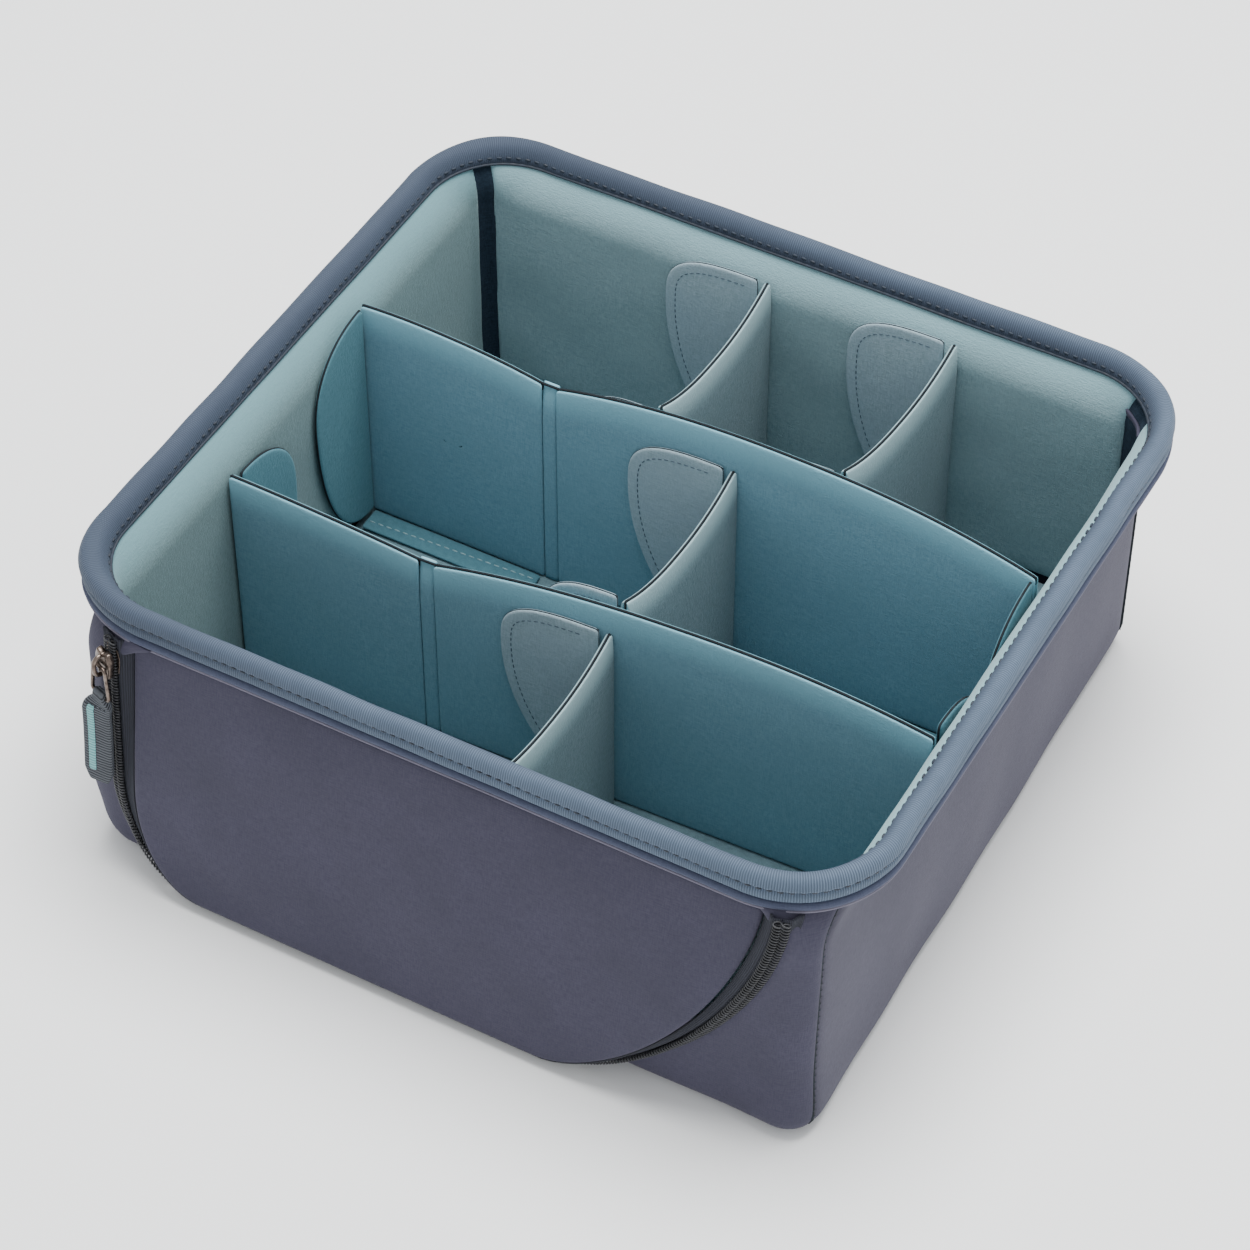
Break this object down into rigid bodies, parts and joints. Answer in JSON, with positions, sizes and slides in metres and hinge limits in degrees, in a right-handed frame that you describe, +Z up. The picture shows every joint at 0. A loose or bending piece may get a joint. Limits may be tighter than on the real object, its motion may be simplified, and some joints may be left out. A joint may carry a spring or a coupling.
{
  "type": "camera bag insert",
  "caption": "Open-topped padded fabric insert with a ribbed rim, zipped front access flap and lift-out folding dividers held by hook-and-loop tabs.",
  "frame": {"origin": "on the underside, on the plumb line below the middle of the rim", "axes": "+X to the right along the zipped front, +Y from the zipped front to the rear, +Z up"},
  "size_m": [0.295, 0.2849, 0.122],
  "materials": {
    "shell": "woven polyester, matte",
    "binding": "ribbed grosgrain tape",
    "piping": "smooth covered cord",
    "loop": "brushed loop fabric over foam",
    "gusset": "plain weave, matte",
    "seam": "black stitched edge",
    "tape": "woven zip tape",
    "coil": "nylon coil",
    "gunmetal": "gunmetal, lightly worn",
    "webbing": "ribbed webbing",
    "stripe": "woven stripe",
    "teal": "brushed fabric over foam",
    "teal_tab": "brushed fabric",
    "pale": "brushed fabric over foam",
    "felt": "felt with stitched edge"
  },
  "bodies": {
    "case": {"base_panel": "shell", "left_outer_panel": "shell", "right_outer_panel": "shell", "rear_outer_panel": "shell", "front_outer_panel": "shell", "rim_binding": "binding", "rim_piping": "piping", "floor_pad": "loop", "left_liner_pad": "loop", "right_liner_pad": "loop", "rear_liner_pad": "loop", "front_liner_pad_left": "loop", "front_liner_pad_right": "loop", "shell_zip_tape": "tape", "shell_zip_coil": "coil", "corner_gusset_front_left": "gusset", "corner_seam_front_left": "seam", "corner_gusset_front_right": "gusset", "corner_seam_front_right": "seam", "corner_gusset_rear_left": "gusset", "corner_seam_rear_left": "seam", "corner_gusset_rear_right": "gusset", "corner_seam_rear_right": "seam"},
    "door": {"door_flap": "shell", "door_flap_liner": "loop", "flap_zip_tape": "tape", "flap_zip_coil": "coil"},
    "slider": {"zip_slider": "gunmetal"},
    "link": {"pull_link": "gunmetal"},
    "pull": {"webbing_pull": "webbing", "pull_stripe": "stripe"},
    "rear_long_divider": {"rear_divider_right": "teal", "rear_fold_strip": "teal", "rear_divider_foot_right": "teal"},
    "rear_folding_section": {"rear_divider_left": "teal", "rear_divider_foot_left": "teal"},
    "rear_left_tab": {"rear_divider_left_tab": "teal_tab"},
    "rear_right_tab": {"rear_divider_right_tab": "teal_tab"},
    "front_long_divider": {"front_divider_left": "teal", "front_fold_strip": "teal", "front_divider_right": "teal"},
    "front_left_tab": {"front_divider_left_tab": "teal_tab"},
    "front_right_tab": {"front_divider_right_tab": "teal_tab"},
    "first_short_divider": {"first_divider": "pale"},
    "first_rear_tab": {"first_divider_rear_tab": "felt"},
    "first_front_tab": {"first_divider_front_tab": "felt"},
    "second_short_divider": {"second_divider": "pale"},
    "second_rear_tab": {"second_divider_rear_tab": "felt"},
    "second_front_tab": {"second_divider_front_tab": "felt"},
    "third_short_divider": {"third_divider": "pale"},
    "third_rear_tab": {"third_divider_rear_tab": "felt"},
    "third_front_tab": {"third_divider_front_tab": "felt"},
    "fourth_short_divider": {"fourth_divider": "pale"},
    "fourth_rear_tab": {"fourth_divider_rear_tab": "felt"},
    "fourth_front_tab": {"fourth_divider_front_tab": "felt"}
  },
  "joints": [
    {"name": "access_flap_hinge", "type": "hinge", "parent": "case", "child": "door", "pos_m": [0, -0.1357, 0.107], "axis": [-1, 0, 0], "range_deg": [0, 110]},
    {"name": "zip_slider_travel", "type": "slide", "parent": "door", "child": "slider", "axis": [0, -0.0695, -0.9976], "range_m": [0, 0.042]},
    {"name": "pull_link_swing", "type": "hinge", "parent": "slider", "child": "link", "pos_m": [-0.12281, -0.14188, 0.09792], "axis": [-0.9394, 0.3419, -0.0238], "range_deg": [0, 120]},
    {"name": "pull_webbing_swing", "type": "hinge", "parent": "link", "child": "pull", "pos_m": [-0.12281, -0.14278, 0.08495], "axis": [-0.9394, 0.3419, -0.0238], "range_deg": [0, 60]},
    {"name": "rear_long_divider_lift", "type": "slide", "parent": "case", "child": "rear_long_divider", "axis": [0, 0, 1], "range_m": [0, 0.112]},
    {"name": "front_long_divider_lift", "type": "slide", "parent": "case", "child": "front_long_divider", "axis": [0, 0, 1], "range_m": [0, 0.112]},
    {"name": "first_short_divider_lift", "type": "slide", "parent": "case", "child": "first_short_divider", "axis": [0, 0, 1], "range_m": [0, 0.112]},
    {"name": "second_short_divider_lift", "type": "slide", "parent": "case", "child": "second_short_divider", "axis": [0, 0, 1], "range_m": [0, 0.112]},
    {"name": "third_short_divider_lift", "type": "slide", "parent": "case", "child": "third_short_divider", "axis": [0, 0, 1], "range_m": [0, 0.112]},
    {"name": "fourth_short_divider_lift", "type": "slide", "parent": "case", "child": "fourth_short_divider", "axis": [0, 0, 1], "range_m": [0, 0.112]},
    {"name": "rear_long_divider_fold", "type": "hinge", "parent": "rear_long_divider", "child": "rear_folding_section", "pos_m": [-0.0545, 0.0367, 0.06], "axis": [0, 0, 1], "range_deg": [0, 20]},
    {"name": "rear_left_tab_swing", "type": "hinge", "parent": "rear_folding_section", "child": "rear_left_tab", "pos_m": [-0.1284, 0.03305, 0.06], "axis": [0, 0, 1], "range_deg": [0, 70]},
    {"name": "rear_right_tab_swing", "type": "hinge", "parent": "rear_long_divider", "child": "rear_right_tab", "pos_m": [0.1284, 0.03305, 0.06], "axis": [0, 0, -1], "range_deg": [0, 70]},
    {"name": "front_left_tab_swing", "type": "hinge", "parent": "front_long_divider", "child": "front_left_tab", "pos_m": [-0.1284, -0.04597, 0.06], "axis": [0, 0, -1], "range_deg": [0, 70]},
    {"name": "front_right_tab_swing", "type": "hinge", "parent": "front_long_divider", "child": "front_right_tab", "pos_m": [0.1284, -0.0361, 0.06], "axis": [0, 0, 1], "range_deg": [0, 70]},
    {"name": "first_rear_tab_swing", "type": "hinge", "parent": "first_short_divider", "child": "first_rear_tab", "pos_m": [-0.01809, 0.11837, 0.06], "axis": [0, 0, 1], "range_deg": [0, 70]},
    {"name": "first_front_tab_swing", "type": "hinge", "parent": "first_short_divider", "child": "first_front_tab", "pos_m": [-0.01781, 0.04251, 0.06], "axis": [0, 0, -1], "range_deg": [0, 70]},
    {"name": "second_rear_tab_swing", "type": "hinge", "parent": "second_short_divider", "child": "second_rear_tab", "pos_m": [0.05511, 0.1183, 0.06], "axis": [0, 0, 1], "range_deg": [0, 70]},
    {"name": "second_front_tab_swing", "type": "hinge", "parent": "second_short_divider", "child": "second_front_tab", "pos_m": [0.0523, 0.04284, 0.06], "axis": [0, 0, -1], "range_deg": [0, 70]},
    {"name": "third_rear_tab_swing", "type": "hinge", "parent": "third_short_divider", "child": "third_rear_tab", "pos_m": [0.01464, 0.03083, 0.06], "axis": [0, 0, 1], "range_deg": [0, 70]},
    {"name": "third_front_tab_swing", "type": "hinge", "parent": "third_short_divider", "child": "third_front_tab", "pos_m": [0.01296, -0.03816, 0.06], "axis": [0, 0, -1], "range_deg": [0, 70]},
    {"name": "fourth_rear_tab_swing", "type": "hinge", "parent": "fourth_short_divider", "child": "fourth_rear_tab", "pos_m": [0.01156, -0.05008, 0.06], "axis": [0, 0, 1], "range_deg": [0, 70]},
    {"name": "fourth_front_tab_swing", "type": "hinge", "parent": "fourth_short_divider", "child": "fourth_front_tab", "pos_m": [0.01024, -0.12303, 0.06], "axis": [0, 0, -1], "range_deg": [0, 70]}
  ]
}
